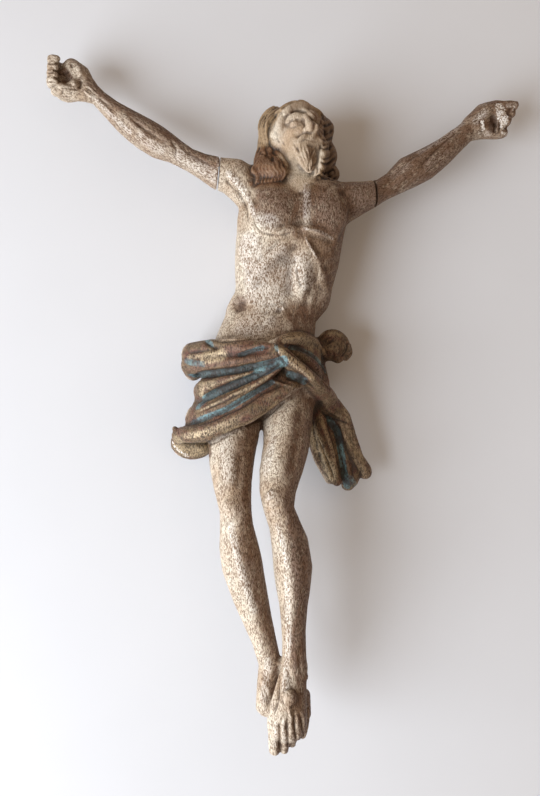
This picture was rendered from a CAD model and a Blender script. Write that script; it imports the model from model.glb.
import math
import bpy
import numpy as np
from mathutils import Euler, Matrix, Vector
from mathutils.bvhtree import BVHTree


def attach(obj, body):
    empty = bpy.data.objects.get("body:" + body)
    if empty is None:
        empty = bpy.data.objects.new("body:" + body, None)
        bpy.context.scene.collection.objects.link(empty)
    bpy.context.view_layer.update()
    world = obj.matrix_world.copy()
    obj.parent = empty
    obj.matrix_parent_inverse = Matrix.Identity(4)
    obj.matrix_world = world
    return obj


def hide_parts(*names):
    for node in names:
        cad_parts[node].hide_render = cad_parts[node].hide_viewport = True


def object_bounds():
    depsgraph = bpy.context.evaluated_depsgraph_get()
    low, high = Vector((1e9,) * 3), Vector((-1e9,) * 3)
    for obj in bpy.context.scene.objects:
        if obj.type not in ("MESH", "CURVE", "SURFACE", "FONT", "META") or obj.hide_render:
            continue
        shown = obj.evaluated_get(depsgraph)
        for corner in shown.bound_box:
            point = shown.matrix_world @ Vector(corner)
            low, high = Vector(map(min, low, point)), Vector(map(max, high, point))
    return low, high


# A carved wooden crucifix corpus, painted cream over gesso and worn, lying on pale paper.
# The turned and joined solids of the frame are dressed with carved muscles, folds, hair and toes.

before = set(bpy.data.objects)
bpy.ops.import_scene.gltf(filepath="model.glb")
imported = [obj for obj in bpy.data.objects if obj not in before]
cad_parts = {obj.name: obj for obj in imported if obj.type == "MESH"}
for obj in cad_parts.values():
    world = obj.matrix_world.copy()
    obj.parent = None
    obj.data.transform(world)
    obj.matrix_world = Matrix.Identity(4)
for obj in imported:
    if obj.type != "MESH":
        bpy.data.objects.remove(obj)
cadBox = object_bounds()
bpy.ops.object.select_all(action="DESELECT")

mm = 0.001
knot = np.array([-10.902, -6.109, 0.336])  # the carving is measured in mm from the knot of the cloth

# Camera, floor and light

photoView = {
    "size": (540, 796),  # the photograph's frame, pixels
    "lens": 36.18,  # mm on a 36 mm sensor
    "distance": 366.0,  # mm
    "aim": (0.0, 0.0, 25.0),  # mm from the knot
    "leans": (7.0, 8.0),  # degrees to the figure's right and towards its feet
}
leanSide, leanFoot = [math.sin(math.radians(a)) for a in photoView["leans"]]
towardsCamera = np.array([-leanSide, -leanFoot, math.sqrt(1 - leanSide ** 2 - leanFoot ** 2)])
eye = np.array(photoView["aim"]) + photoView["distance"] * towardsCamera
pictureUp = np.array([0.0, 1.0, 0.0]) - towardsCamera * towardsCamera[1]
pictureUp /= np.linalg.norm(pictureUp)
pictureRight = np.cross(pictureUp, towardsCamera)
focalPixels = photoView["lens"] / 36 * photoView["size"][1]
middle = np.array(photoView["size"]) / 2


def toFrame(points):
    return (np.asarray(points) + knot) * mm


turned = Matrix([pictureRight, pictureUp, towardsCamera]).transposed()
bpy.ops.object.camera_add(location=toFrame(eye), rotation=turned.to_euler())
camera = bpy.context.object
camera.name = "studioCamera"
camera.data.lens = photoView["lens"]
camera.data.clip_start = 0.01
bpy.context.scene.camera = camera

bpy.ops.mesh.primitive_plane_add(size=6, location=(0, 0, 0))  # m
floor = bpy.context.object
floor.name = "paperFloor"

studio = {  # lamps' places in mm and sizes in m
    "key": {"from": (-800, -420, 490), "size": 0.9, "watts": 19.5, "colour": "#ecf4ff"},
    "fill": {"from": (500, 500, 900), "size": 1.2, "watts": 0.8, "colour": "#ffe9d4"},
    "sky": "#ffe4cb",
    "skyStrength": 0.32,
}


def linearColour(hexCode):
    # sRGB hex to Blender's linear colour
    values = [int(hexCode[i:i + 2], 16) / 255 for i in (1, 3, 5)]
    return [v / 12.92 if v <= 0.04045 else ((v + 0.055) / 1.055) ** 2.4 for v in values] + [1.0]


for lampName in ("key", "fill"):
    lampSet = studio[lampName]
    place = Vector(lampSet["from"]) * mm
    bpy.ops.object.light_add(type="AREA", location=place, rotation=place.to_track_quat("Z", "Y").to_euler())
    lamp = bpy.context.object
    lamp.name = lampName + "Light"
    lamp.data.shape = "DISK"
    lamp.data.size = lampSet["size"]
    lamp.data.energy = lampSet["watts"]
    lamp.data.color = linearColour(lampSet["colour"])[:3]

scene = bpy.context.scene
scene.world = bpy.data.worlds.new("studioSky")
scene.world.use_nodes = True
sky = scene.world.node_tree.nodes["Background"]
sky.inputs["Color"].default_value = linearColour(studio["sky"])
sky.inputs["Strength"].default_value = studio["skyStrength"]
scene.view_settings.view_transform = "Standard"
print("camera, floor and lights placed")

# Helpers for the carving


def select(piece):
    bpy.ops.object.select_all(action="DESELECT")
    piece.select_set(True)
    bpy.context.view_layer.objects.active = piece


def copyOfNode(node, name):
    # a merged copy of a CAD node's mesh, as a piece of its own
    piece = bpy.data.objects.new(name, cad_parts[node].data.copy())
    bpy.context.collection.objects.link(piece)
    piece.data.materials.clear()
    select(piece)
    bpy.ops.object.mode_set(mode="EDIT")
    bpy.ops.mesh.select_all(action="SELECT")
    bpy.ops.mesh.remove_doubles(threshold=0.002 * mm)
    bpy.ops.object.mode_set(mode="OBJECT")
    return piece


def evenOut(piece, size):
    # one closed skin of even squares, size in mm
    select(piece)
    piece.data.remesh_voxel_size = size * mm
    bpy.ops.object.voxel_remesh()


def readVertices(piece, what="co"):
    flat = np.empty(len(piece.data.vertices) * 3, np.float32)
    piece.data.vertices.foreach_get(what, flat)
    return flat.reshape(-1, 3).astype(float)


def pointsOf(piece):
    return readVertices(piece) / mm - knot


def movePoints(piece, points):
    piece.data.vertices.foreach_set("co", toFrame(points).astype(np.float32).ravel())
    piece.data.update()


def edgesOf(piece):
    flat = np.empty(len(piece.data.edges) * 2, np.int32)
    piece.data.edges.foreach_get("vertices", flat)
    return flat.reshape(-1, 2)


def relaxed(points, edges, passes, swell=0.0, weight=1.0):
    # each pass moves a point towards its neighbours, and swell brings the volume back
    a, b = edges[:, 0], edges[:, 1]
    count = np.bincount(np.concatenate([a, b]), minlength=len(points))[:, None]
    points = points.copy()
    for _ in range(passes):
        for step in ([0.5, -swell] if swell else [0.5]):
            total = np.stack([
                np.bincount(a, points[b, i], len(points)) + np.bincount(b, points[a, i], len(points))
                for i in range(3)
            ], axis=1)
            points += (total / count - points) * step * weight
    return points


def smoothLine(places, step):
    # an even line through the places, rounded at each of them
    p = np.asarray(places, float)
    if len(p) == 1:
        return p
    p = np.vstack([2 * p[0] - p[1], p, 2 * p[-1] - p[-2]])
    run = []
    for i in range(1, len(p) - 2):
        count = max(2, int(np.linalg.norm(p[i + 1] - p[i]) / step))
        for t in np.arange(count) / count:
            run.append(0.5 * (2 * p[i] + (p[i + 1] - p[i - 1]) * t
                              + (2 * p[i - 1] - 5 * p[i] + 4 * p[i + 1] - p[i + 2]) * t ** 2
                              + (3 * p[i] - p[i - 1] - 3 * p[i + 1] + p[i + 2]) * t ** 3))
    run.append(p[-2])
    return np.array(run)


def surfaceOf(piece):
    bpy.context.view_layer.update()
    return BVHTree.FromObject(piece, bpy.context.evaluated_depsgraph_get())


def drawn(surface, pixels):
    # a line drawn across the photograph's frame, laid on the carving that it crosses
    found = []
    for x, y in smoothLine(pixels, 0.7):
        right, down = (x - middle[0]) / focalPixels, (y - middle[1]) / focalPixels
        ray = -towardsCamera + right * pictureRight - down * pictureUp
        place, facing, _, _ = surface.ray_cast(Vector(toFrame(eye)), Vector(ray).normalized())
        if place is not None:
            found.append([*(np.array(place) / mm - knot), *facing])
    return np.array(found).reshape(-1, 6)


def laid(surface, places):
    # a line through places in mm from the knot, moved onto the nearest carving
    found = []
    for p in smoothLine(places, 0.35):
        place, facing, _, _ = surface.find_nearest(Vector(toFrame(p)))
        found.append([*(np.array(place) / mm - knot), *facing])
    return np.array(found).reshape(-1, 6)


def nearLine(points, facing, line, width):
    # the points within a width of a line on their own side of the wood: which, how far, how far along
    near = np.zeros(0, int)
    if len(line):
        low, high = line[:, :3].min(0) - width, line[:, :3].max(0) + width
        near = np.flatnonzero(((points > low) & (points < high)).all(1))
    if len(near) == 0:
        return near, near, near
    apart = np.full(len(near), 1e9)
    nearest = np.zeros(len(near), int)
    for i, spot in enumerate(line[:, :3]):
        gap = ((points[near] - spot) ** 2).sum(1)
        closer = gap < apart
        apart[closer], nearest[closer] = gap[closer], i
    apart = np.sqrt(apart) / width
    same = (facing[near] * line[nearest, 3:]).sum(1) > 0.1
    keep = (apart < 1) & same
    along = nearest[keep] / max(len(line) - 1, 1)
    return near[keep], apart[keep], along


def fadeOf(along, line):
    # strokes run out over their last fifth
    if len(line) < 3:
        return np.ones_like(along, float)
    t = np.clip(np.minimum(along, 1 - along) / 0.2, 0, 1)
    return 0.15 + 0.85 * t * t * (3 - 2 * t)


def carve(piece, lines, crest=False):
    # lines of (height, width, places on the carving): ridges and broad hollows are round, narrow grooves sharp
    points, facing = pointsOf(piece), readVertices(piece, "normal")
    lift = np.zeros(len(points))
    sharp = 1.25 if crest else 1.6
    for height, width, line in lines:
        which, apart, along = nearLine(points, facing, line, width)
        shape = (1 - apart) ** sharp if crest or height < 0 and width < 2.5 else (1 - apart ** 2) ** 2
        lift[which] += height * shape * fadeOf(along, line)
    movePoints(piece, points + facing * lift[:, None])


def carveDrawn(piece, strokes, crest=False):
    surface = surfaceOf(piece)
    carve(piece, [(height, width, drawn(surface, pixels)) for height, width, *pixels in strokes], crest)


def strandLines(first, last, count, wave, waves, turn):
    # lines between two guides, as many as count, with a wave across them
    a, b = smoothLine(first, 1.0), smoothLine(last, 1.0)
    t = np.linspace(0, 1, 18)
    a, b = [np.stack([np.interp(t, np.linspace(0, 1, len(g)), g[:, i]) for i in range(g.shape[1])], 1)
            for g in (a, b)]
    across = b - a
    across /= np.linalg.norm(across, axis=1)[:, None] + 1e-6
    ripple = (wave * np.sin(2 * math.pi * (waves * t + turn)))[:, None] * across
    return [a + (b - a) * (i + 0.5) / count + ripple for i in range(count)]


def tube(stations):
    # a round tapered form through stations of x, y, z and radius in mm, with round ends
    rows = [np.array(s, float) for s in stations]
    ends = []
    for end, inner in ((rows[0], rows[1]), (rows[-1], rows[-2])):
        out = end[:3] - inner[:3]
        out /= np.linalg.norm(out)
        ends.append([np.array([*(end[:3] + out * end[3] * reach), end[3] * girth])
                     for reach, girth in ((0.5, 0.87), (0.86, 0.5), (1.0, 0.04))])
    rows = ends[0][::-1] + rows + ends[1]
    bpy.ops.curve.primitive_bezier_curve_add()
    form = bpy.context.object
    form.matrix_world = Matrix.Identity(4)
    spline = form.data.splines[0]
    spline.bezier_points.add(len(rows) - len(spline.bezier_points))
    for point, row in zip(spline.bezier_points, rows):
        point.co = toFrame(row[:3])
        point.radius = row[3]
        point.handle_left_type = point.handle_right_type = "AUTO"
    form.data.dimensions = "3D"
    form.data.bevel_depth = mm
    form.data.bevel_resolution = 5
    form.data.resolution_u = 8
    form.data.use_fill_caps = True
    bpy.ops.object.convert(target="MESH")
    return form


def tubeOn(line, radii, proud):
    # a form lying along a line on the carving, standing out by a part of its radius
    spots = np.linspace(0, len(line) - 1, len(radii)).round().astype(int)
    return tube([(*(line[i, :3] + line[i, 3:] * r * proud), r) for i, r in zip(spots, radii)])


def egg(place, sizes, axes=np.identity(3)):
    # a rounded lump with three half sizes in mm
    bpy.ops.mesh.primitive_uv_sphere_add(segments=28, ring_count=18, radius=1)
    form = bpy.context.object
    turn = np.asarray(axes).T @ np.diag(sizes) * mm
    spot = Matrix.Translation(Vector(toFrame(place))) @ Matrix(turn.tolist()).to_4x4()
    form.data.transform(spot)
    return form


def joinTo(piece, forms):
    bpy.ops.object.select_all(action="DESELECT")
    for form in forms:
        form.select_set(True)
    piece.select_set(True)
    bpy.context.view_layer.objects.active = piece
    bpy.ops.object.join()


def keepFlatAt(points, place, out, gap, reach=15.0):
    # nothing within reach of a glue face passes it
    out = np.array(out) / np.linalg.norm(out)
    past = (points - np.array(place)) @ out + gap
    near = (np.linalg.norm(points - np.array(place), axis=1) < reach) & (past > 0)
    points[near] -= past[near, None] * out


seams = {  # the middle of each glue face in mm from the knot, and the way out of the shoulder
    "right": ((-24.2, 108, 24), (-1, 0.06, 0)),
    "left": ((51, 102, 23.5), (1, 0.1, 0)),
}

# The head's own axes: across, up to the crown and out of the face

headTurn = Euler([math.radians(a) for a in (-9, 17, 5)], "XYZ").to_matrix()
headAxes = np.array(headTurn).T
headCentre = np.array([11, 124.5, 26])


def inHead(*place):
    return headCentre + np.array(place[:3]) @ headAxes


# The figure

figureSet = {
    "firstSkin": 0.7,  # mm, squares of the skin before the facets are eased
    "skin": 0.45,  # mm, squares that the carving is cut into
    "easing": 26,  # passes that ease the facets
    "swell": 0.51,  # what each pass gives back of the volume
    "formEasing": 3,  # passes over the joined forms
    "faceEasing": 6,  # more passes over the face
    "glueGap": 0.15,  # mm, kept free on each side of a shoulder joint
    "triangles": 194000,
}


def easedCopy(node, name, settings, staysFirm):
    # a piece from a CAD node with its facets eased, but for the points that stay firm
    piece = copyOfNode(node, name)
    evenOut(piece, settings["firstSkin"])
    points = pointsOf(piece)
    weight = np.where(staysFirm(points), 0.0, 1.0)[:, None]
    movePoints(piece, relaxed(points, edgesOf(piece), settings["easing"], settings["swell"], weight))
    return piece


def glueFaceOrBack(points):
    firm = toFrame(points)[:, 2] < 0.15 * mm
    for place, out in seams.values():
        offset = points - np.array(place)
        depth = offset @ (np.array(out) / np.linalg.norm(out))
        firm |= (np.abs(depth) < 0.6) & (np.linalg.norm(offset, axis=1) < 15)
    return firm


figure = easedCopy("figure", "carvedFigure", figureSet, glueFaceOrBack)
print("figure's facets eased")

# round forms through stations of x, y, z and radius, mm from the knot
toes = [
    [(0.2, -136, 39.3, 2.9), (0, -142, 40, 2.4), (0.2, -146.4, 39.2, 2.5), (0.4, -149.6, 38.2, 2.2)],
    [(4.2, -137, 40.2, 2.1), (4.2, -142.4, 40.4, 1.9), (4.4, -146.8, 39.2, 2), (4.4, -149.5, 38, 1.8)],
    [(7.8, -137, 39.8, 2), (7.8, -141.4, 39.8, 1.7), (7.8, -145.2, 38.4, 1.8), (7.8, -147.5, 37.2, 1.6)],
    [(10.9, -136, 38.8, 1.9), (10.9, -139.8, 38.6, 1.6), (10.7, -143, 37.2, 1.7), (10.4, -144.9, 36.4, 1.6)],
    [(13.8, -134, 37.2, 1.9), (13.6, -139, 37.2, 1.5), (13, -143, 35.8, 1.6), (12.6, -145, 35, 1.4)],
]
clothForms = [
    [(0.5, 19.5, 43, 3.2), (9, 12.5, 42.4, 3), (18.5, 6, 37, 3), (26, 1.5, 28.5, 3.4), (30, -2.5, 21.5, 3.6)],
    [(30, -2, 21.5, 3.2), (34, -7.5, 20.6, 3.2), (36.4, -14, 18.6, 2.8), (40.6, -25, 16.2, 2.7),
     (46.6, -33, 13.8, 3.4)],
    [(21.8, -8, 19.6, 3.1), (21.4, -15, 18.2, 2.5), (25.4, -26, 15.8, 2.1), (31, -36.5, 13.8, 2)],
    [(23.5, -3, 22, 3), (24.5, -13, 21.5, 2.8), (28, -25, 19.5, 2.5), (32.5, -37.4, 16.5, 2.4)],
    [(25, 28, 17.5, 2.8), (30, 32, 18.4, 2.5), (35.4, 29.6, 18.4, 2.6), (36.8, 25, 17.8, 2.3),
     (34, 21.6, 17.5, 2.4)],
    [(38.6, 27, 17, 1.5), (39, 23.6, 17, 1.7), (37.4, 21, 17, 1.5)],
    [(-43, -14.2, 20, 1.3), (-40, -17.6, 25, 1.4), (-34, -18.6, 31.5, 1.3), (-26, -17.4, 38, 1.3),
     (-17, -14.4, 42, 1.2), (-8, -9.5, 43.6, 1.1), (0, -3.6, 43.6, 1)],
]
hairForms = [
    [(2.6, 139.5, 20, 4.1), (0, 136, 20.2, 4.2), (0.2, 131, 21, 3.7), (0, 124, 22, 3.6), (-1, 115, 24.4, 4.2),
     (-2.8, 108.4, 27.2, 4.9), (1.6, 106.4, 30.8, 4.3), (5, 105.8, 31.8, 3.1)],
    [(24, 138, 20, 4.2), (28.6, 136, 18.4, 3.8), (27.4, 129, 18.6, 3.8), (30, 121.5, 18.6, 4.1),
     (28.4, 115.5, 18.4, 3.6)],
    [(30.6, 113.6, 19, 3.6), (31.4, 111.8, 19, 3.8)],
    [(2.6, 119, 26.5, 2.4), (4.4, 113, 29, 3), (5.6, 108.4, 31, 3)],
    [(26.6, 127, 21.4, 2.8), (25.2, 119.5, 24.6, 3.2), (23, 111, 28.2, 3.2), (21.2, 104, 31.4, 2.8)],
]


# the face is a plain one: brow, nose and chin a third apart, eyes half way down the head
def faceHeight(across, up):
    # how far out of the head's centre the bare face lies
    skull = -2 + 15 * math.sqrt(max(0, 1 - (across / 12.6) ** 2 - ((up - 4) / 14.5) ** 2))
    mask = 5 + 10.5 * math.sqrt(max(0, 1 - (across / 10) ** 2 - ((up + 4) / 13.5) ** 2))
    beard = np.interp(up, [-28, -25, -19, -13, -10], [8.6, 10.4, 13, 14.4, 0]) - 0.09 * across ** 2
    return max(skull, mask, beard)


def onFace(places, radii, proud):
    return tube([(*inHead(*spot, faceHeight(*spot) + r * proud), r) for spot, r in zip(places, radii)])


def onHead(surface, places):
    return laid(surface, [inHead(*spot, faceHeight(*spot) + 0.5) for spot in places])


surface = surfaceOf(figure)
faceHollows = []
for side in (-1, 1):  # eye sockets and cheeks
    faceHollows.append((-0.9, 3, onHead(surface, [(side * 5.4, 0.4), (side * 3.2, 0.4)])))
    faceHollows.append((-0.5, 3.4, onHead(surface, [(side * 5.8, -7.6), (side * 4.8, -5.6)])))
carve(figure, faceHollows)

faceForms = [  # places across and up the head, radii, and how proud of it they stand
    ([(0, 3.6), (0, 1), (0, -1.6), (0, -3.6), (0, -4.8)], (1.2, 1.4, 1.7, 2.1, 1.9), 0.9),
    ([(-3.2, -9.8), (-1.3, -9.0), (0, -9.3), (1.3, -9.0), (3.2, -9.8)], (0.6, 1.0, 0.9, 1.0, 0.6), 0.0),
    ([(-2.6, -10.7), (0, -11.3), (2.6, -10.7)], (0.6, 1.2, 0.6), -0.1),
    *[([(side * 0.8, -7.3), (side * 3, -8.1), (side * 5, -10.4), (side * 6, -13)], (0.8, 1.2, 1.2, 0.8), 0.1)
      for side in (-1, 1)],
    *[([(side * 7.2, 2.4), (side * 6, 3.6), (side * 3.6, 4.3), (side * 1.2, 3.8)], (1.1, 1.6, 1.8, 1.3), 0.25)
      for side in (-1, 1)],
]

# locks of hair between two lines on the photograph: count, radius in mm, wave in pixels, waves and their start
hairLocks = [
    (((273, 107), (264, 114), (261, 126), (260.5, 141), (258, 154), (254, 168)),
     ((283, 111), (273, 119), (268, 131), (267, 144), (266, 155), (265, 168)), 4, 1.35, 0.8, 2.0, 0.0),
    (((279, 104), (290, 101.5), (302, 102), (312, 107), (322, 114)),
     ((285, 115), (293, 111), (302, 111.5), (311, 117), (317, 125)), 4, 1.35, 0.8, 1.5, 0.2),
    (((262, 149), (257.5, 160), (253, 171), (256, 183.5)),
     ((267, 147), (275, 157), (283.5, 167), (284, 180)), 9, 1.1, 1.7, 2.6, 0.1),
]
surface = surfaceOf(figure)
forms = [tube(stations) for stations in toes + clothForms + hairForms]
forms += [onFace(*form) for form in faceForms]
for side in (-1, 1):  # lids, and wings of the nose
    forms.append(egg(inHead(side * 4.3, 0.2, 11.9), (2.6, 1.6, 2.1), headAxes))
    forms.append(egg(inHead(side * 1.7, -4.9, 15.6), (1.2, 1.3, 1.5), headAxes))
forms.append(egg((5.4, -127, 47.2), (2.9, 3.4, 2.2)))  # boss of the nail on the instep
forms.append(egg((-0.6, 103.9, 28.4), (7.6, 4.9, 4.6)))  # body of the brown lock
joinTo(figure, forms)
evenOut(figure, figureSet["skin"])
surface = surfaceOf(figure)
forms = []
for first, last, count, radius, wave, waves, turn in hairLocks:
    for line in strandLines(first, last, count, wave, waves, turn):
        line = drawn(surface, line)
        if len(line) > 8:
            forms.append(tubeOn(line, [radius * t for t in (0.7, 1, 1, 1.05, 1, 1.05, 1, 1, 0.9, 0.6)], 0.2))
joinTo(figure, forms)
evenOut(figure, figureSet["skin"])
points = relaxed(pointsOf(figure), edgesOf(figure), figureSet["formEasing"], 0.5)
across, up, out = ((points - headCentre) @ headAxes.T).T
faceSkin = (np.abs(across) < 9) & (up > -13) & (up < 10) & (out > 5)
movePoints(figure, relaxed(points, edgesOf(figure), figureSet["faceEasing"], 0.5, 1.0 * faceSkin[:, None]))
print("figure's forms joined:", len(figure.data.vertices), "points")

# Strokes as height and half width in mm, then the photograph's pixels that they cross
bodyStrokes = [
    # right breast
    (0.2, 3.4, (253, 212), (254, 225), (261.5, 230), (277, 232), (290, 230), (299, 226)),
    (-0.8, 1.2, (253, 214), (254.5, 224), (259.5, 230.5), (269, 234.4), (283, 234.6), (296, 231)),
    (-0.3, 3, (253, 226), (257, 232.5), (265, 236), (277, 237), (290, 235), (297, 233)),
    # left breast
    (0.5, 0.9, (303, 228.4), (311, 230), (322, 234.4), (333, 239.6)),
    (-0.4, 2.6, (304, 233), (312, 235), (322, 239), (333, 245)),
    # breastbone
    (-0.45, 4.4, (297, 184), (297.5, 205), (298, 222), (297, 234)),
    (0.3, 2.2, (307, 184), (307, 205), (306.5, 226)),
    # left arch of the ribs
    (0.55, 0.9, (305, 238), (311, 248), (317, 257.5)), (-0.4, 2.6, (309.5, 238), (315, 247.5), (320, 256)),
    (-0.45, 5, (323, 262), (326, 277), (322, 294)),
    # right arch of the ribs
    (0.2, 4.2, (291, 238), (283, 247), (272, 257), (262, 268), (254, 282), (248, 296)),
    (-0.2, 4.4, (297, 242), (289, 252), (279, 264)),
    # belly
    (0.4, 4.6, (303, 256), (306, 268), (308, 281)), (-1, 1.3, (296, 267), (297.5, 277), (302, 289)),
    (-0.35, 1.6, (316.5, 261), (318, 272), (315, 284)), (0.3, 2.4, (316, 286), (312, 300), (308.5, 313)),
    (-0.25, 2.8, (311, 286), (307, 298), (303, 312)),
    (-0.35, 4.4, (291, 237), (291, 250), (290, 268), (287, 290), (283, 302)),
    # lower belly and right hip
    (0.5, 9, (262, 322), (280, 328), (298, 324)), (-1, 5.4, (240, 300), (241, 312)),
    (0.6, 3.4, (231, 309), (227, 324), (222, 338)),
    # right shoulder
    (-1.2, 2.2, (236, 191), (241, 199), (245.5, 208), (248, 219)), (0.8, 2.4, (243, 190), (250, 201), (253.5, 214)),
    (0.7, 2.4, (226, 171), (235, 180), (243, 190)), (-0.8, 1.6, (224, 178), (233, 189), (241, 195)),
    # left shoulder
    (-0.5, 1.5, (323, 192), (330, 186), (338, 182.5), (346, 181)), (0.5, 2.2, (327, 194), (336, 189), (346, 187)),
    (-0.9, 3, (341, 189), (344, 203), (348, 214)),
    (0.5, 2.2, (318, 170), (312, 180), (306, 190)), (-0.8, 2.4, (301, 191), (302, 195)),  # neck
    # ribs
    (0.35, 2.4, (239, 232), (246, 236), (254, 242)), (0.35, 2.4, (238, 246), (246, 250), (254, 255)),
    (0.35, 2.4, (238, 260), (246, 263), (254, 268)), (0.35, 2.4, (239, 274), (246, 277), (252, 281)),
    (0.35, 2.2, (341, 243), (333, 246), (325, 251)), (0.35, 2.2, (340, 256), (332, 259), (324, 264)),
    (0.35, 2.2, (337, 269), (330, 272), (323, 277)),
    # nipples and navel
    (0.5, 1.1, (268, 220.5)), (-0.25, 2.2, (268, 220.5)), (0.45, 1.1, (337, 225)), (-0.25, 2.2, (337, 225)),
    (0.55, 0.9, (275.6, 312), (276.8, 307.2), (280.8, 306), (283.6, 309), (282.6, 313.6), (278.6, 315.4),
     (275.6, 312)),
    (-0.5, 1.1, (279.5, 310.6)),
]
shinCrests = [
    (1, 6, (227, 519), (232, 534), (236.5, 553), (244, 581), (253, 610), (262, 640), (268, 668)),
    (1.2, 6.4, (275, 518), (280, 534), (285, 551), (290, 567), (293.4, 584), (293.4, 606), (291, 635), (288, 662)),
]
legStrokes = [
    # right knee and thigh
    (0.8, 4.2, (229, 500), (228, 512)), (-0.4, 1.9, (221, 516), (226, 522), (233, 522), (239, 515)),
    (-0.4, 2.6, (240, 450), (239, 472), (236, 494)), (0.4, 4, (232, 452), (230, 475), (230, 492)),
    # left knee, calf and thigh
    (0.9, 4, (270.5, 490), (272, 501)),
    (-0.45, 1.8, (262.5, 490), (263.5, 502), (269, 510), (277, 509), (281, 500)),
    (-0.3, 3, (298, 524), (302, 548), (304, 574), (302, 602)), (-0.6, 1.8, (266, 511), (272, 524)),
    (0.6, 6.5, (290, 402), (284, 440), (276, 478)), (-0.5, 3, (302, 400), (297, 440), (289, 478)),
    # between the shins and feet
    (-0.6, 1.6, (300, 640), (299, 662), (303, 676)), (-1.1, 1.3, (282, 664), (279, 678), (278, 701), (271.5, 718)),
    # left ankle and the boss of the nail
    (0.6, 1.6, (287, 664), (285, 678), (285, 690)), (0.8, 1.3, (288, 706), (290, 713), (291, 720)),
    (-0.7, 1.2, (281, 694), (283, 704), (289, 709), (295, 704)),
    # right foot, and ankle bones
    (0.6, 2, (261, 690), (264, 704), (269, 716)), (0.7, 2.2, (264, 678), (263, 686)),
    (0.7, 2.2, (306, 676), (309, 684)),
    # tendons and gaps of the toes
    (0.5, 1.1, (284, 713), (279, 719), (275.5, 728)), (0.5, 1.1, (287, 714), (284.5, 721), (283.5, 731)),
    (0.5, 1, (291, 713), (291, 721), (291, 731)), (0.5, 1, (296, 711), (297.5, 719), (298, 729)),
    (0.5, 1, (300, 709), (303, 717), (304, 727)), (-1.3, 1, (279, 722), (279.6, 735), (280, 749)),
    (-1.3, 1, (286.5, 720), (287.6, 734), (288.4, 748)), (-1.3, 0.9, (293.6, 718), (295.4, 730), (296.8, 743)),
    (-1.3, 0.9, (301, 717), (302.8, 727), (304.2, 738)),
]
topChannel = (215, 373.5), (234.5, 371), (250.4, 367.8), (268, 363.8)
midChannel = (213.8, 395), (226.5, 388.6), (239.3, 383), (255.2, 375.8), (271.2, 368.6)
lowChannel = (210.6, 415.7), (226.5, 409.3), (242.5, 399.7), (258.4, 390.2), (271.2, 382.2)
tailChannel = (328, 419), (337, 432), (340, 448), (343, 464)
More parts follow.
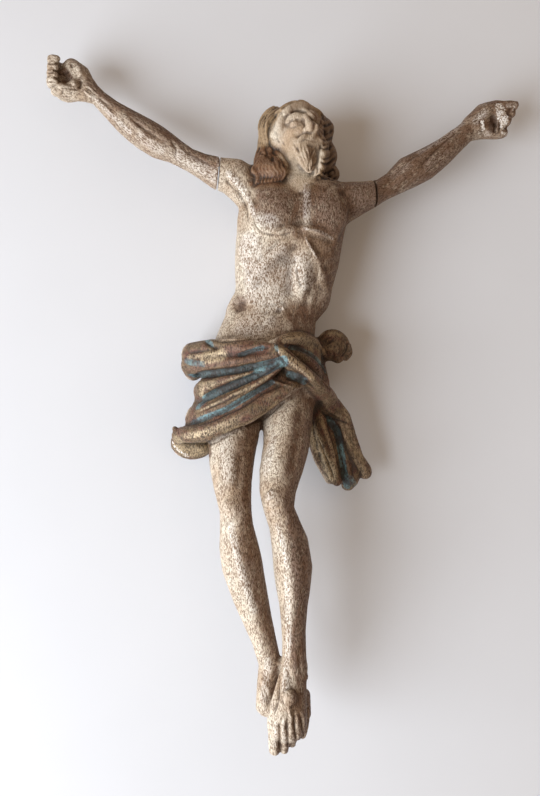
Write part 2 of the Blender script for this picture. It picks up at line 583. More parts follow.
clothStrokes = [
    # roll along the top
    (-1, 1.9, (217, 341.4), (228, 340.6), (242, 339.4), (256, 339.6), (271, 341.6)),
    (-0.9, 1.5, (186, 353), (196, 352), (208, 350.5), (222, 347.5)),
    (0.4, 1.4, (186, 356.5), (198, 356), (210, 354), (222, 351)),
    (-1.7, 2.2, (204, 340), (211, 345.5), (218, 348.5)),
    (-1.1, 2.1, (236, 357), (248, 352.5), (260, 348.5), (271, 346.5)),
    (0.5, 1.3, (238, 353), (248, 349), (260, 345.5), (270, 344.5)),
    (0.8, 2.6, (222, 362.5), (245, 360), (265, 356.5), (278, 354)),
    # channels, with ridges between them
    (-1.5, 2.7, (192, 374.5), *topChannel, (281.5, 360)),
    (0.9, 2.2, (197, 384), (210, 383), (222, 379.5), (245, 375), (262, 369.5), (274, 365)),
    (-1.7, 3.2, (202, 404), *midChannel), (-0.9, 1.6, (255.2, 375.8), (271.2, 368.6), (284, 362)),
    (0.4, 0.8, (208, 403), (226, 391.5), (240, 385.5), (256, 378), (272, 370)),
    (0.8, 1.1, (198, 411), (217, 402.5), (231, 395.5), (252, 386), (271, 374.5), (286, 364)),
    (0.6, 1, (197, 416), (214, 408.5), (230, 401.5), (248, 391.5), (264, 381.5), (278, 370)),
    (-1.3, 2.2, (195, 422), *lowChannel, (279, 374)),
    # hem
    (0.9, 3, (186, 431), (210.6, 427), (224.9, 420), (245.7, 410), (262, 399), (281, 391), (300, 383)),
    (-0.6, 1.2, (190, 428), (210, 422), (228, 414.5), (246, 405), (262, 394), (276, 386)),
    (-1.5, 1.7, (177, 441.5), (190, 443.5), (209, 443.5), (224, 436.5), (238, 430), (252, 423.5), (264, 417.5),
     (275, 408.5), (284, 400), (292, 393), (302, 388.5)),
    # hollow over the left thigh
    (-1.6, 3.6, (287, 373.5), (297, 378), (305, 383.5)), (0.6, 1.3, (268, 378), (282, 384.5), (298, 388)),
    # sash
    (-0.9, 1.1, (277, 351), (282, 360.5), (292, 369), (304, 378), (314, 388.5), (320, 397)),
    (-1, 1.2, (281, 346), (292, 354), (303, 362.5), (313, 370), (323, 381), (330, 391)),
    (0.4, 1.6, (280, 352), (290, 361), (303, 370), (316, 381), (324, 391)),
    (-0.35, 0.7, (284, 353), (293, 361), (305, 370), (317, 382)),
    (0.8, 1.7, (279, 343.5), (288, 339.5), (302, 337), (315, 341), (322, 350), (328, 362), (330, 374)),
    (-0.9, 1.5, (281, 346), (292, 346.5), (304, 351), (316, 359), (325, 371), (329, 383)),
    (0.7, 1.5, (288, 349.5), (302, 356), (313, 364), (323, 376)), (-0.6, 0.8, (277, 346), (284, 341)),
    (-0.5, 0.7, (274.5, 347), (271, 352)), (-0.5, 0.7, (277, 349), (279, 357)),
    # bunch at the hip
    (-1.6, 3, (328.5, 340.5), (330.5, 343.5)),
    (-0.7, 1, (324.5, 345), (325.5, 340), (329.5, 337.6), (333.4, 339.6), (334.4, 345.4)),
    (0.5, 1.5, (321, 341.5), (326, 335.5), (333, 332.5), (340, 335.6), (344, 342.5), (343.6, 351), (339, 357)),
    (-0.9, 0.9, (347.4, 343), (346.8, 348), (344.6, 353), (340, 358)),
    (-0.5, 0.8, (338, 342), (340, 349), (338, 356)), (-0.5, 0.8, (332, 350), (334, 355), (333, 360)),
    # tail
    (-2, 2.8, *tailChannel, (346, 484)), (0.9, 1.9, (340, 424), (347, 441), (357, 459), (367, 470)),
    (0.9, 1.7, (319, 416), (327, 435), (333, 454), (336, 472), (337.5, 483)),
    (-1, 1.1, (314, 432), (323, 451), (331, 470), (335, 483)),
    (-1.1, 1.2, (350, 424.5), (339, 421), (329, 418), (319, 409)),
    (0.6, 1.4, (349, 420), (340, 416), (331, 411), (324, 404)), (-0.6, 1, (353, 466), (351, 484)),
    (-0.5, 0.9, (361, 466), (361, 481)), (-0.6, 0.9, (344, 468), (340, 487)),
]
carveDrawn(figure, bodyStrokes + legStrokes)
carveDrawn(figure, shinCrests, crest=True)
carveDrawn(figure, clothStrokes)
print("muscles, toes and folds carved")

strands = []
surface = surfaceOf(figure)
for k in range(15):  # the hair at the back of the head, crown to nape
    turn = math.radians(-118 + k * 236 / 14)
    ring = [(math.sin(turn) * r, up, -math.cos(turn) * r * 1.15 - 3) for up, r in
            ((17.5, 3), (13, 10), (5, 15), (-6, 16), (-16, 13))]
    ring = [(a + 0.7 * math.sin(2.2 * i + k), u, o) for i, (a, u, o) in enumerate(ring)]
    strands.append((-0.6, 0.95, laid(surface, [inHead(*p) for p in ring])))
for dx in (-2.2, -0.8, 0.6, 2.0):  # the lock that falls beside the left cheek
    fall = [(26.6 + dx, 127, 25.5), (25.2 + dx, 119.5, 29), (23 + 0.9 * dx, 111, 32.5), (21 + 0.7 * dx, 103, 35)]
    strands.append((-0.5, 0.8, laid(surface, fall)))
for across in (-7.6, -5.9, -4.2, -2.5, -0.8, 0.8, 2.5, 4.2, 5.9, 7.6):  # waved locks of the beard
    top = -12.8 + 0.1 * across ** 2
    lock = [(across * (1 - 0.72 * t) + 0.45 * math.sin(9 * t + across), top + (-28 - top) * t)
            for t in np.linspace(0, 1, 7)]
    strands.append((-0.75, 0.85, onHead(surface, lock)))
for k in range(12):  # crimped hair on the figure's left, its crimps uneven
    rowY = 120 + 4.8 * k + 1.2 * math.sin(2.3 * k)
    far = 335 + 1.6 * math.sin(1.7 * k)
    for height, width, drop in ((0.6, 1.6, 0), (-0.75, 1.1, 2.4)):
        crimp = [(319, -3), (323, 3), (328, 2.6), (332, -0.6), (far, -3.4)]
        strands.append((height, width, drawn(surface, [(px, rowY + dy + drop) for px, dy in crimp])))
curl = [(333 + r * math.cos(t), 174 + r * math.sin(t))
        for t, r in ((0.6, 6.5), (2, 6), (3.4, 5), (4.8, 4), (6.2, 2.6))]
strands.append((-1.2, 1.2, drawn(surface, curl)))
carve(figure, strands)

surface = surfaceOf(figure)
faceLines = []
for side in (-1, 1):
    lash = [(side * (4.3 + dx), -0.5 + up)
            for dx, up in ((-2.4, 0.3), (-1.2, -0.4), (0.2, -0.7), (1.4, -0.4), (2.4, 0.3))]
    fold = [(side * (4.3 + dx), 1.8 + up) for dx, up in ((-2.4, -0.6), (-0.8, 0.2), (0.8, 0.2), (2.4, -0.6))]
    wing = [(side * 3.0, -3.8), (side * 3.4, -5.4), (side * 2.6, -6.4)]
    faceLines += [(-0.4, 0.6, lash), (-0.35, 0.8, fold), (-0.4, 0.8, wing), (-0.5, 0.6, [(side * 0.9, -6.4)]),
                  (-0.5, 1.4, [(side * 2.0, 1.2), (side * 2.2, -1.4)])]
faceLines += [(-0.55, 0.6, [(-3, -9.9), (-1.2, -9.8), (0, -10), (1.2, -9.8), (3, -9.9)]),
              (-0.4, 0.9, [(-1.6, -12.4), (1.6, -12.4)])]
carve(figure, [(h, w, onHead(surface, line)) for h, w, line in faceLines])

backFolds = [
    [(-31, 17.6, 5), (-20, 17.4, 1), (-6, 16.6, 0)], [(-29.5, 9.5, 5.5), (-18, 8, 1), (0, 7.5, 0)],
    [(-28, -2.6, 6), (-14, -3.4, 1), (4, -3, 1)], [(26, 19, 7), (16, 17.6, 1), (6, 17, 0)],
    [(26, 9, 7), (16, 7.6, 1), (8, 6, 0)], [(-30, -12, 7), (-16, -12.6, 2), (2, -12, 2)],
]
surface = surfaceOf(figure)
carve(figure, [(-0.9, 1.6, laid(surface, line)) for line in backFolds])
print("hair, face and back carved")

points = relaxed(pointsOf(figure), edgesOf(figure), 1)
for place, out in seams.values():
    keepFlatAt(points, place, out, figureSet["glueGap"])


def settle(points, facing):
    # down to the table and inside the frame's box
    placed = toFrame(points)
    down = (placed[:, 2] < 0.2 * mm) & (facing[:, 2] < -0.9)
    placed[down, 2] = 0
    low, high = [np.array(corner) for corner in cadBox]
    return np.clip(placed, low, high) / mm - knot


movePoints(figure, settle(points, readVertices(figure, "normal")))


def thin(piece, triangles):
    # fewer triangles where the surface is plain
    select(piece)
    piece.data.calc_loop_triangles()
    now = len(piece.data.loop_triangles)
    if now > triangles:
        fewer = piece.modifiers.new("thinning", "DECIMATE")
        fewer.ratio = triangles / now
        bpy.ops.object.modifier_apply(modifier=fewer.name)
    piece.data.polygons.foreach_set("use_smooth", [True] * len(piece.data.polygons))
    piece.data.update()


thin(figure, figureSet["triangles"])
print("figure finished:", len(figure.data.polygons), "faces")

# The arms

armSet = {"firstSkin": 0.55, "skin": 0.36, "easing": 26, "swell": 0.51, "formEasing": 5, "triangles": 90000}


def makeArm(side, forms, strokes):
    place, out = [np.array(v) for v in seams[side]]
    unit = out / np.linalg.norm(out)
    name = "carved" + side.title() + "Arm"
    arm = easedCopy(side + "_arm", name, armSet, lambda points: (points - place) @ unit < 0.5)
    joinTo(arm, [tube(stations) for stations in forms])
    evenOut(arm, armSet["skin"])
    movePoints(arm, relaxed(pointsOf(arm), edgesOf(arm), armSet["formEasing"], 0.5))
    carveDrawn(arm, strokes)
    points = relaxed(pointsOf(arm), edgesOf(arm), 1)
    keepFlatAt(points, place, -unit, figureSet["glueGap"])
    movePoints(arm, settle(points, readVertices(arm, "normal")))
    thin(arm, armSet["triangles"])
    print(name, "finished:", len(arm.data.polygons), "faces")
    return arm


rightFingers = [[(-100, y, 14, 2.0), (-103.2, y, 17.6 + 0.4 * i, 2.0), (-103.2, y - 0.4, 21.2, 1.95),
                 (-101.8, y - 0.7, 22.6, 1.6)]
                for i, y in enumerate((160.4, 156.9, 153, 149.4))]
rightThumb = [(-87, 147, 18.4, 2.7), (-92, 146.2, 20.2, 2.3), (-96.5, 146.4, 21.2, 2.1), (-100.8, 147.8, 21.2, 1.8)]
rightStrokes = [
    # forearm
    (-0.6, 1.8, (130, 119), (142, 127), (152, 134), (166, 143)), (-0.6, 1.4, (112, 118), (122, 132), (136, 144)),
    (0.4, 1.8, (120, 112), (132, 123), (144, 134), (156, 144)),
    # upper arm and elbow
    (-0.6, 2.2, (184, 150), (198, 158), (212, 166)), (0.5, 2.4, (184, 158), (198, 167), (210, 174)),
    (-0.6, 1.6, (172, 141), (176, 150), (174, 158)),
    (0.4, 0.9, (86, 84), (96, 94), (108, 104)), (-0.35, 0.9, (84, 88), (94, 98), (106, 109)),  # wrist
    # fingers
    (-0.9, 0.9, (47, 63.6), (60, 63.4)), (-0.9, 0.9, (47, 72.6), (59, 72.2)), (-0.8, 0.9, (47, 82), (57, 81.6)),
    # palm
    (-1, 4.4, (64, 71), (66, 82)), (-1.1, 1, (68.8, 79.8)), (-0.9, 1.2, (71.5, 63), (71.8, 69)),
    (0.8, 2, (77, 65), (80, 72), (80.5, 78)), (0.9, 1.8, (74.6, 81), (74.6, 86)),
    # thumb
    (-1.2, 1.4, (81, 80), (81, 85), (79.5, 89)), (-0.8, 0.9, (60, 88), (70, 88.4), (80, 90)),
    (-0.45, 0.8, (62.8, 88), (62.6, 95)), (-0.4, 0.8, (71, 89), (71.5, 96)),
    (-0.6, 0.8, (58, 96), (66, 97), (74, 97.4)),
    # tendons
    (0.6, 1, (83, 90), (92, 96.5), (104, 106), (116, 117)), (-0.6, 1, (85, 87), (92, 91.5), (100, 98), (110, 107)),
    (0.6, 1.5, (217.5, 155), (218.5, 166), (219, 178), (218.5, 186)),  # ring over the joint
]
leftStubs = [
    [(117.6, 151.6, 19, 2.8), (122.4, 152.2, 20.2, 2.4), (125.8, 152.4, 20.6, 1.8)],
    [(118, 148.4, 19, 2.7), (123.8, 148.4, 20.4, 2.1)], [(116.6, 144.8, 20, 3), (121.4, 144.8, 21.2, 2.3)],
    [(117, 140.6, 18, 2.6), (119.6, 140.2, 18.8, 2.2)],
]
leftStrokes = [
    # arm
    (-0.9, 1.7, (462, 129), (450, 137), (440, 146), (428, 158), (418, 170)),
    (-0.6, 1.3, (426, 150), (412, 158), (402, 168)), (-0.5, 1.2, (444, 158), (434, 166), (424, 176)),
    (0.5, 1.8, (462, 125), (448, 134), (434, 145), (420, 156)), (-0.6, 2.2, (405, 164), (396, 174), (384, 184)),
    (0.4, 2, (408, 172), (398, 182), (386, 190)),
    # wrist and palm
    (-0.6, 1.2, (479, 118), (482, 126), (482, 134)), (-0.9, 2.6, (492, 115), (494, 122)),
    (-2, 1.5, (494.6, 121), (495.4, 128), (494.6, 134)), (-0.9, 1, (499, 121), (500, 127), (498.6, 133)),
    # gaps between the stubs
    (-0.8, 1, (502, 128.8), (508.4, 128.4)), (-0.8, 1, (506, 113), (510, 110.4), (511, 106.6)),
    (-0.7, 0.8, (508, 119.4), (512, 118.4)), (-0.5, 0.8, (512.6, 111.8), (516, 111.4)),
    # ridges of the hand
    (0.5, 1.4, (483, 109), (488, 105), (495, 103.6)), (0.5, 2.6, (502, 110), (505, 118)),
    (0.5, 1.4, (482.6, 122), (483, 129)),
    (-0.5, 1.2, (470, 116), (478, 112)), (-0.4, 1, (474, 122), (480, 117)),  # tendons
]
rightArm = makeArm("right", [*rightFingers, rightThumb], rightStrokes)
leftArm = makeArm("left", leftStubs, leftStrokes)

# Paint: where each finish lies, worked out for every point of the carving


def seenAt(points):
    # the photograph's pixels at which points appear
    offset = points - eye
    depth = -offset @ towardsCamera
    return np.stack([middle[0] + focalPixels * (offset @ pictureRight) / depth,
                     middle[1] - focalPixels * (offset @ pictureUp) / depth], axis=1)


def inside(pixels, outline):
    # which pixels lie inside a closed outline
    x, y = pixels[:, 0], pixels[:, 1]
    within = np.zeros(len(pixels), bool)
    for (x0, y0), (x1, y1) in zip(outline, outline[1:] + outline[:1]):
        crosses = (y0 > y) != (y1 > y)
        within ^= crosses & (x < (x1 - x0) * (y - y0) / (y1 - y0 + 1e-9) + x0)
    return within


def hollows(piece):
    # how deep each point lies in a crease (+) or how far it stands out (-), fine and broad, in mm
    points, facing, edges = pointsOf(piece), readVertices(piece, "normal"), edgesOf(piece)
    fine = ((relaxed(points, edges, 4) - points) * facing).sum(1)
    broad = ((relaxed(points, edges, 28) - points) * facing).sum(1)
    spread = relaxed(np.stack([fine, broad, broad], 1), edges, 2)
    return spread[:, 0], spread[:, 1]


def store(piece, name, values):
    layer = piece.data.attributes.new(name, "FLOAT", "POINT")
    layer.data.foreach_set("value", np.clip(values, 0, 1).astype(np.float32))


def soften(piece, values, passes):
    stacked = np.repeat(np.asarray(values, float)[:, None], 3, axis=1)
    return relaxed(stacked, edgesOf(piece), passes)[:, 0]


def brushed(piece, surface, strokes):
    points, facing = pointsOf(piece), readVertices(piece, "normal")
    paint = np.zeros(len(points))
    for strength, width, *pixels in strokes:
        which, apart, _ = nearLine(points, facing, drawn(surface, pixels), width)
        edge = np.clip((1 - apart) / 0.4, 0, 1)
        paint[which] = np.maximum(paint[which], strength * edge)
    return paint


def paintOn(piece, paint, glaze, creaseDepths, edgeHeights):
    # each finish's strokes, glaze under the bare ones, and the dark of creases and the rubbing of edges
    surface = surfaceOf(piece)
    fine, broad = hollows(piece)
    for finish, strokes in paint.items():
        if finish == "dark":
            continue
        painted = brushed(piece, surface, strokes)
        store(piece, finish, np.maximum(painted, glaze) if finish == "bare" else painted)
    dark = 1.6 * brushed(piece, surface, paint.get("dark", []))
    store(piece, "crease", fine / creaseDepths[0] + broad / creaseDepths[1] + dark)
    store(piece, "edge", -fine / edgeHeights[0] - broad / edgeHeights[1])


clothOutline = [  # pixels of the photograph
    (181, 358), (184, 348), (190, 341), (200, 335), (213, 334), (218, 341.6), (226, 341.4), (240, 340.2),
    (256, 340.4), (270, 342.6), (275, 343), (278, 336), (285, 331), (295, 329), (306, 329.5), (313, 333),
    (319, 338), (325, 331), (332, 327), (340, 328), (347, 334), (353, 343), (353, 356), (342, 363), (333, 365),
    (332, 380), (332, 396), (345, 402), (352, 410), (355, 425), (362, 443), (380, 462), (380, 480), (362, 490),
    (345, 496), (334, 490), (318, 466), (309, 448), (308, 437), (308, 424), (311, 412), (316, 402), (311, 396),
    (303, 386), (301, 386), (291, 391), (283, 398), (274, 406.5), (263, 415), (251, 421.5), (237, 428),
    (224, 434.5), (211, 441), (211.5, 458), (200, 462), (185, 460), (172, 450), (166, 440), (170, 430), (185, 418),
    (192, 405), (192, 380), (180, 372), (176, 364),
]
# strokes as strength and half width in mm, then the pixels that they cross
# chip: down to the gesso, bare: brown wood, worn: rubbed pale, dark: grime in a deep hollow
figurePaint = {
    "blue": [
        (1, 2.3, (192, 375), *topChannel, (284, 359.5)), (1, 3, (200, 405), *midChannel, (284, 361)),
        (0.75, 1.9, (193, 423), *lowChannel), (0.5, 2, (186, 361), (194, 363), (203, 364)),
        (0.6, 1.6, (207, 340), (212, 345)), (0.7, 1.6, (240, 355.5), (250, 351), (262, 347.5)),
        (0.75, 2.4, (290, 374), (298, 378), (304, 381)),
        (0.55, 1.6, (290, 346.5), (304, 351.5), (316, 359), (325, 371)), (0.9, 2.2, *tailChannel, (347, 486)),
        (0.5, 2, (350, 478), (355, 486)), (0.5, 1.2, (276, 345), (277, 350)),
    ],
    "gold": [
        (1, 3.4, (205, 358), (213, 357), (222, 355)), (0.7, 1.4, (189, 357), (200, 356)),
        (0.9, 1.6, (202, 386), (201.5, 396)), (0.3, 1.3, (200, 383), (212, 382)),
        (0.8, 1.6, (186, 436), (198, 434.5), (210, 432)), (0.5, 1.6, (212, 430), (226, 424), (238, 419)),
        (0.8, 2, (282, 351), (291, 359.5), (302, 368.5), (312, 377)), (0.6, 1.6, (306, 341), (312, 346)),
        (0.5, 1.4, (346, 436), (356, 452), (364, 462)), (0.5, 1.2, (321, 418), (331, 446), (335, 470)),
        (0.6, 0.7, (199, 411), (217, 403), (231, 396), (252, 386.5), (271, 374.5)),
        (0.5, 0.7, (200, 389), (226, 381), (252, 373)), (1, 3.6, (314, 432), (321, 453), (330, 476)),
        (0.6, 2, (286, 341), (300, 341), (312, 345)), (0.4, 1.6, (286, 338), (300, 335.5)),
        (0.35, 1.6, (330, 334), (338, 336)), (0.5, 1.6, (356, 484), (348, 489)),
    ],
    "rust": [
        (0.9, 4, (228, 352), (246, 350), (262, 348)), (0.8, 3, (226, 360), (246, 358), (264, 355)),
        (0.5, 3, (262, 386), (276, 378), (288, 382)), (0.6, 2.5, (240, 408), (258, 399), (272, 391)),
        (0.5, 2.5, (366, 466), (368, 476)),
    ],
    "lining": [
        (1, 5, (180, 446), (194, 450), (206, 449)), (0.9, 3.2, (178, 441), (192, 445), (208, 444)),
        (0.6, 1.8, (341, 400), (347, 412), (348, 420)), (0.5, 2.4, (358, 462), (366, 474), (366, 484)),
        (0.8, 1.5, (226, 432), (240, 426.5), (254, 420), (266, 413), (278, 402)),
        (0.9, 4, (313, 437), (321, 454), (330, 474)), (0.6, 3, (284, 337), (300, 335), (314, 340), (322, 352)),
        (0.5, 2.2, (344, 426), (352, 442), (362, 458)),
    ],
    "chip": [
        (0.75, 0.7, (172.5, 440), (174, 446), (179, 451), (186, 455)), (0.6, 0.7, (184, 456), (190, 457)),
        (0.35, 1, (277, 348), (279, 352)),
    ],
    "bare": [
        (0.85, 9, (270, 192), (284, 198), (296, 206)), (0.65, 9, (268, 208), (286, 216)),
        (0.5, 5, (290, 222), (300, 232)), (1, 9, (317, 196), (329, 206), (327, 222)),
        (0.9, 6, (344, 188), (352, 196), (352, 208)), (0.6, 5, (338, 214), (344, 226)),
        (1, 9, (350, 190), (362, 192), (376, 194)), (1, 8, (350, 206), (364, 204), (376, 204)),
        (0.6, 4.5, (239, 303), (241, 308)), (0.5, 5, (277, 322), (280, 330)), (0.8, 9, (300, 318), (308, 330)),
        (0.5, 6, (334, 246), (332, 276), (322, 302)), (0.35, 6, (236, 336), (262, 334)),
        (0.5, 7, (306, 404), (304, 440), (298, 476)), (0.5, 5, (248, 400), (256, 430), (252, 460)),
        (1, 6, (296, 520), (301, 560), (304, 600)), (0.8, 5, (302, 610), (300, 650), (304, 680)),
        (0.4, 4, (250, 530), (264, 580), (276, 630)), (0.4, 3, (230, 384), (246, 392)),
    ],
    "worn": [
        (0.7, 2.2, (229, 173), (237, 182), (243, 190)), (0.6, 1.6, (244, 193), (250, 203), (253.5, 214)),
        (0.7, 8, (248, 246), (253, 262), (257, 280)), (0.6, 8, (258, 292), (272, 300)),
        (0.5, 4, (262, 220), (272, 222)), (0.6, 6, (301, 262), (306, 280)), (0.5, 8, (262, 318), (250, 326)),
        (0.5, 8, (276, 256), (282, 282)), (0.55, 0.7, (304, 228.5), (313, 229.5), (323, 233), (333, 239)),
        (0.55, 0.7, (306, 238), (311, 248), (316, 257)), (0.5, 2.2, (307, 186), (307, 225)),
        (0.5, 2, (231, 526), (236, 552), (244, 580), (254, 610)), (0.5, 1.4, (278, 528), (284, 548), (286.5, 566)),
        (0.4, 1.8, (270, 492), (268, 498)), (0.4, 3, (272, 440), (266, 470)),
        (0.5, 1.8, (287, 580), (288, 640), (286, 662)), (0.5, 2, (286, 668), (285, 688)),
        (0.5, 1.8, (268, 660), (266, 680), (263, 700)), (0.4, 1.2, (276, 724), (275, 745)),
        (0.4, 1, (283, 722), (284, 742)), (0.4, 4, (226, 440), (228, 476)),
    ],
}

points, facing = pointsOf(figure), readVertices(figure, "normal")
x, y, z = points.T
front = facing @ towardsCamera > 0.05
pixels = seenAt(points)
legRows = {  # the thighs as rows of x, y, z and radius, mm from the knot
    "right": [(-13, 4, 20, 12), (-16.4, -21, 30.6, 11.2), (-17, -28, 33.6, 9.9), (-17.1, -35.5, 36.8, 8.8)],
    "left": [(9.8, 4, 22, 12), (8.4, -10, 29, 10.9), (7, -21.3, 34.6, 10.1), (3.6, -32.8, 39.7, 9.2)],
}
onLeg = np.zeros(len(points), bool)
for rows in legRows.values():
    rows = np.array(rows)
    for a, b in zip(rows, rows[1:]):
        span = b[:3] - a[:3]
        t = np.clip(((points - a[:3]) @ span) / (span @ span), 0, 1)
        apart = np.linalg.norm(points - a[:3] - t[:, None] * span, axis=1) - (a[3] + (b[3] - a[3]) * t)
        onLeg |= apart < 0.55
# where the photograph shows nothing, cloth is told from skin by its place
behind = (y < 25.5) & (y > -13) | (y <= -13) & (y > -30) & (x < -27) & (z < 26)
behind |= (x > 21) & (y < 36) & (y > -45) & ~onLeg
clothHere = np.where(front, inside(pixels, clothOutline), behind & ~(onLeg & (y < -9)))

across, up, out = ((points - headCentre) @ headAxes.T).T
nearHead = (y > 96) & (np.abs(x - 14) < 27)
face = (((across + 0.6) / 12.2) ** 2 + ((up + 2.4) / 14.6) ** 2 < 1) & (out > 1)
beard = (up < -6) & (up > -30) & (out > 3) & (np.abs(across) < 10.5 + (up + 6) * 0.33)
neck = (y < 112) & (x > 7) & (x < 19) & (z > 24) & ~beard
hairOutline = [
    (255, 190), (248, 186), (246, 172), (253, 160), (254, 145), (256, 118), (266, 104), (285, 96), (305, 96),
    (330, 110), (341, 122), (341, 160), (346, 168), (345, 180), (330, 187), (316, 190), (300, 184), (286, 181),
    (286, 187), (270, 191),
]
hairHere = nearHead & (inside(pixels, hairOutline) | ~front & (y > 104)) & ~face & ~neck & ~beard
hairHere &= ~(front & (y < np.where(x < 9, 95, 103)))
store(figure, "cloth", soften(figure, clothHere, 2))
store(figure, "hair", soften(figure, hairHere + 0.3 * (beard & nearHead & ~hairHere), 2))
store(figure, "darkHair", soften(figure, hairHere & (x > 23.5), 4))
store(figure, "brownLock", soften(figure, hairHere & (x < 9) & (y < 119.5) & front, 4))
store(figure, "plain", soften(figure, (face | beard | neck) & nearHead, 6))
onLegs = np.where(y < -8, 0.12, 0)  # a brown glaze lies on the sides turned from the window, more on the legs
glazed = soften(figure, np.clip((facing @ pictureRight - 0.12 + onLegs) / 0.6, 0, 1), 3)
paintOn(figure, figurePaint, 0.85 * glazed, (0.1, 0.9), (0.07, 1.2))

armPaint = {
    "carvedRightArm": {
        "chip": [(0.35, 1.1, (218, 156), (218.5, 170), (218.5, 184))],
        "bare": [
            (0.7, 3.4, (186, 146), (202, 156), (214, 164)), (0.9, 4, (63, 74), (68, 80)),
            (0.75, 3.4, (90, 82), (104, 94), (124, 106), (146, 118), (166, 133)),
            (0.6, 2.4, (133, 118), (150, 130), (166, 144)),
        ],
        "worn": [
            (0.35, 4, (180, 156), (200, 167), (214, 177)), (0.3, 3, (140, 138), (160, 150)),
            (0.4, 1.4, (92, 96), (112, 116), (130, 132)),
        ],
    },
    "carvedLeftArm": {
        "chip": [
            (0.95, 3.4, (500, 108), (503, 117)), (0.9, 2, (505.5, 120), (503, 127)),
            (0.8, 1.4, (482.5, 122), (483, 129)), (0.5, 0.9, (513, 110), (516, 105)),
            (0.55, 1.2, (502, 133), (507, 134)), (0.45, 1, (478, 119), (485, 112)),
        ],
        "bare": [
            (0.9, 7, (366, 192), (378, 192), (394, 186)), (0.7, 1.8, (493, 112), (494, 122), (493, 132)),
            (0.8, 3.4, (468, 132), (450, 144), (430, 160), (412, 176)), (0.6, 5, (484, 112), (505, 112)),
        ],
        "worn": [
            (0.3, 2, (420, 152), (440, 140), (462, 124)), (0.12, 4, (430, 166), (446, 156)),
            (0.12, 2.6, (392, 176), (408, 166)), (0.5, 2.4, (476, 121), (485, 112)),
            (0.3, 2, (480, 132), (488, 134)), (0.4, 1.4, (508, 106), (515, 105)),
        ],
        "dark": [
            (1, 2, (491, 118), (492, 130)), (1, 1.6, (496, 122), (497, 132)), (0.6, 1.2, (508, 112), (510, 119)),
        ],
    },
}
armGlaze = {"carvedRightArm": (0.4, 0.1), "carvedLeftArm": (0.72, 0.5)}  # on the arm and on the hand
for arm in (rightArm, leftArm):
    turned = readVertices(arm, "normal") @ (pictureRight + pictureUp) / math.sqrt(2)
    onHand = (np.abs(pointsOf(arm)[:, 0]) - 78) / 8  # the wrists are 78 mm to each side
    glaze = np.interp(onHand, [0, 1], armGlaze[arm.name])
    glaze = glaze + 0.45 * soften(arm, np.clip((turned + 0.2) / 0.8, 0, 1), 3)
    paintOn(arm, armPaint[arm.name], glaze, (0.08, 0.7), (0.06, 0.9))
print("paint laid on")

# Materials


def addNode(tree, kind, settings=None, links=None):
    # one node, its settings, and its inputs as values or as other nodes' outputs
    node = tree.nodes.new("ShaderNode" + kind)
    for name, value in (settings or {}).items():
        setattr(node, name, value)
    for socket, value in (links or {}).items():
        if isinstance(value, bpy.types.NodeSocket):
            tree.links.new(value, node.inputs[socket])
        else:
            node.inputs[socket].default_value = value
    return node


woodPaint = {
    "cream": "#dacbb3", "tan": "#b99e80", "umber": "#5d3e27", "bareWood": "#6f4c32", "grime": "#3b2618",
    "gesso": "#f5f0e7", "hairTan": "#a08562", "hairBrown": "#70492b", "hairDark": "#5e4735",
    "bronze": "#6f573b", "rust": "#673d2b", "soot": "#33291f", "blue": "#789fa4", "slate": "#42555b",
    "gold": "#c9b390", "lining": "#a8916f",
    "speck": 0.52, "mottle": 2.2, "blotch": 15.0, "fold": 5.0, "grit": 0.8,  # mm
    "relief": 0.27,  # mm, from the pits to the paint's surface
    "pitted": {"skin": 0.72, "hair": 0.5, "cloth": 0.72},  # how dark the pits are
    "creased": {"skin": 0.62, "hair": 0.85, "cloth": 0.75},  # how dark the creases are
    "rubbed": {"skin": 0.12, "hair": 0.3, "cloth": 0.2},  # how pale the edges are
}


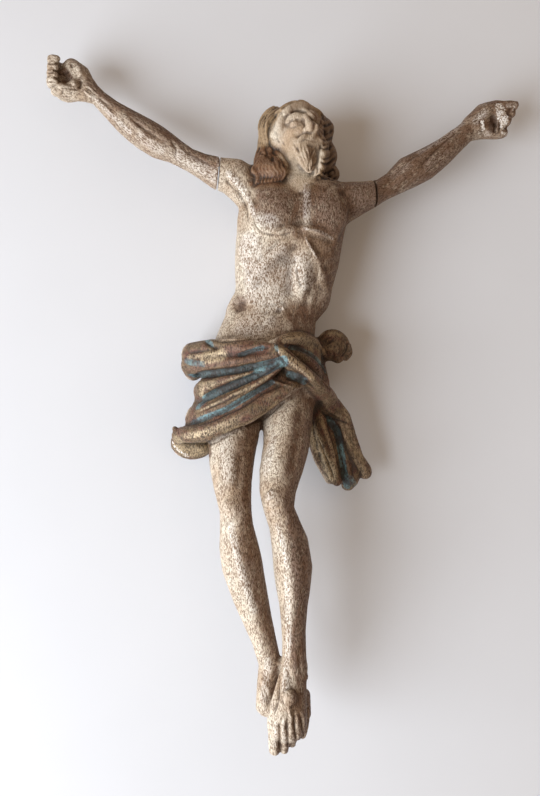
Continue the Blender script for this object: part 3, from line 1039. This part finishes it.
def paintedWood(name, limbAngle):
    # carved limewood under gesso and oil paint, worn and waxed: mottled cream, brown in every pit
    material = bpy.data.materials.new(name)
    material.use_nodes = True
    tree = material.node_tree
    shader = tree.nodes["Principled BSDF"]
    colour = {key: linearColour(value) for key, value in woodPaint.items() if isinstance(value, str)}
    pits, creases, rubs = woodPaint["pitted"], woodPaint["creased"], woodPaint["rubbed"]
    place = addNode(tree, "TexCoord").outputs["Object"]
    along = addNode(tree, "Mapping", None, {"Vector": place, "Rotation": (0, 0, limbAngle)}).outputs[0]
    stretched = addNode(tree, "Mapping", None, {"Vector": along, "Scale": (1, 0.42, 0.85)}).outputs[0]

    def layer(attribute):
        return addNode(tree, "Attribute", {"attribute_name": attribute}).outputs["Fac"]

    def noise(vector, pattern, detail, roughness=0.55, distortion=0.0):
        return addNode(tree, "TexNoise", None, {
            "Vector": vector, "Scale": 1 / (woodPaint[pattern] * mm), "Detail": detail, "Roughness": roughness,
            "Distortion": distortion,
        }).outputs["Fac"]

    def between(value, low, high, first=0.0, last=1.0):
        return addNode(tree, "MapRange", {"clamp": True}, {
            "Value": value, "From Min": low, "From Max": high, "To Min": first, "To Max": last}).outputs[0]

    def maths(operation, a, b, clamp=True):
        return addNode(tree, "Math", {"operation": operation, "use_clamp": clamp}, {0: a, 1: b}).outputs[0]

    def times(a, b):
        return maths("MULTIPLY", a, b)

    def plus(a, b):
        return maths("ADD", a, b)

    def mixed(factor, a, b):
        return addNode(tree, "Mix", {"data_type": "RGBA"}, {0: factor, 6: a, 7: b}).outputs[2]

    grain = noise(stretched, "speck", 1.5, 0.5, 0.7)
    mottle = noise(stretched, "mottle", 3, 0.6)
    patches = noise(place, "blotch", 4, 0.6)
    grit = noise(place, "grit", 2)
    pitted = maths("ADD", grain, maths("MULTIPLY", mottle, 0.3, False), False)
    plain = maths("SUBTRACT", 1.0, times(layer("plain"), 0.6))
    speck = times(between(pitted, 0.6, 0.76), plain)  # the pits, 0 on the paint and 1 in them
    crease, edge, bare = layer("crease"), layer("edge"), layer("bare")

    # flesh: cream oil paint, brown glaze caught in every pit
    skin = mixed(between(patches, 0.38, 0.66), colour["cream"], colour["tan"])
    brown = times(bare, between(mottle, 0.7, 0.42))  # the paint stays on in mottled islands
    skin = mixed(times(plus(brown, times(bare, 0.42)), 0.9), skin, colour["bareWood"])
    skin = mixed(times(speck, pits["skin"]), skin, mixed(bare, colour["umber"], colour["grime"]))
    worn = times(plus(layer("worn"), times(edge, rubs["skin"])), between(pitted, 0.72, 0.6))
    skin = mixed(times(worn, 0.7), skin, colour["gesso"])
    skin = mixed(times(crease, creases["skin"]), skin, colour["grime"])

    # hair: brown glaze over the same ground
    locks = mixed(layer("brownLock"), colour["hairTan"], colour["hairBrown"])
    locks = mixed(layer("darkHair"), locks, colour["hairDark"])
    locks = mixed(times(speck, pits["hair"]), locks, colour["grime"])
    locks = mixed(times(edge, rubs["hair"]), locks, colour["tan"])
    locks = mixed(times(crease, creases["hair"]), locks, colour["soot"])

    # cloth: bronze paint gone brown, pale gold on the ridges and blue in the channels
    folds = noise(place, "fold", 4, 0.65)
    drape = mixed(between(folds, 0.45, 0.6), colour["bronze"], colour["rust"])
    drape = mixed(layer("rust"), drape, colour["rust"])
    drape = mixed(layer("lining"), drape, colour["lining"])
    drape = mixed(times(speck, pits["cloth"]), drape, colour["soot"])
    gilt = times(plus(layer("gold"), times(edge, rubs["cloth"])), between(pitted, 0.8, 0.56))
    drape = mixed(times(gilt, 0.85), drape, colour["gold"])
    feathered = maths("SUBTRACT", plus(layer("blue"), times(grain, 0.7)), 0.35)
    blueHere = times(between(feathered, 0.2, 0.7), between(pitted, 0.84, 0.64))
    drape = mixed(blueHere, drape, mixed(between(folds, 0.42, 0.6), colour["blue"], colour["slate"]))
    drape = mixed(times(crease, creases["cloth"]), drape, colour["soot"])

    painted = mixed(layer("hair"), skin, locks)
    painted = mixed(layer("cloth"), painted, drape)
    ragged = times(layer("chip"), between(grit, 0.34, 0.6))  # chips break off along the grit
    gesso = mixed(times(speck, 0.7), colour["gesso"], colour["tan"])
    painted = mixed(times(between(ragged, 0.26, 0.5), 0.94), painted, gesso)
    tree.links.new(painted, shader.inputs["Base Color"])

    tree.links.new(between(pitted, 0.54, 0.78, 0.46, 0.72), shader.inputs["Roughness"])
    tree.links.new(times(times(gilt, layer("cloth")), 0.35), shader.inputs["Metallic"])
    shader.inputs["IOR"].default_value = 1.48
    height = plus(times(between(pitted, 0.86, 0.46), 0.8), times(grit, 0.25))
    bump = addNode(tree, "Bump", None, {"Height": height, "Distance": woodPaint["relief"] * mm, "Strength": 1.0})
    tree.links.new(bump.outputs[0], shader.inputs["Normal"])
    return material


finishes = {figure: ("wornPaintOnLimewood", 0.0), rightArm: ("wornPaintOnRightArm", math.radians(-55)),
            leftArm: ("wornPaintOnLeftArm", math.radians(52))}
for piece, (materialName, limbAngle) in finishes.items():
    piece.data.materials.clear()
    piece.data.materials.append(paintedWood(materialName, limbAngle))

paperSet = {"shade": "#e1e2e3", "light": "#e9eaeb", "cloud": 90.0, "roughness": 0.9}  # cloud in mm
paper = bpy.data.materials.new("drawingPaper")  # matt white paper, a little grey
paper.use_nodes = True
tree = paper.node_tree
sheet = tree.nodes["Principled BSDF"]
sheet.inputs["Roughness"].default_value = paperSet["roughness"]
clouds = addNode(tree, "TexNoise", None, {
    "Vector": addNode(tree, "TexCoord").outputs["Object"], "Scale": 1 / (paperSet["cloud"] * mm), "Detail": 3})
tone = addNode(tree, "Mix", {"data_type": "RGBA"}, {
    0: clouds.outputs["Fac"], 6: linearColour(paperSet["shade"]), 7: linearColour(paperSet["light"])})
tree.links.new(tone.outputs[2], sheet.inputs["Base Color"])
floor.data.materials.append(paper)

for piece, node in ((figure, "figure"), (rightArm, "right_arm"), (leftArm, "left_arm")):
    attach(piece, "root")
    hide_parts(node)

print("sizes written")
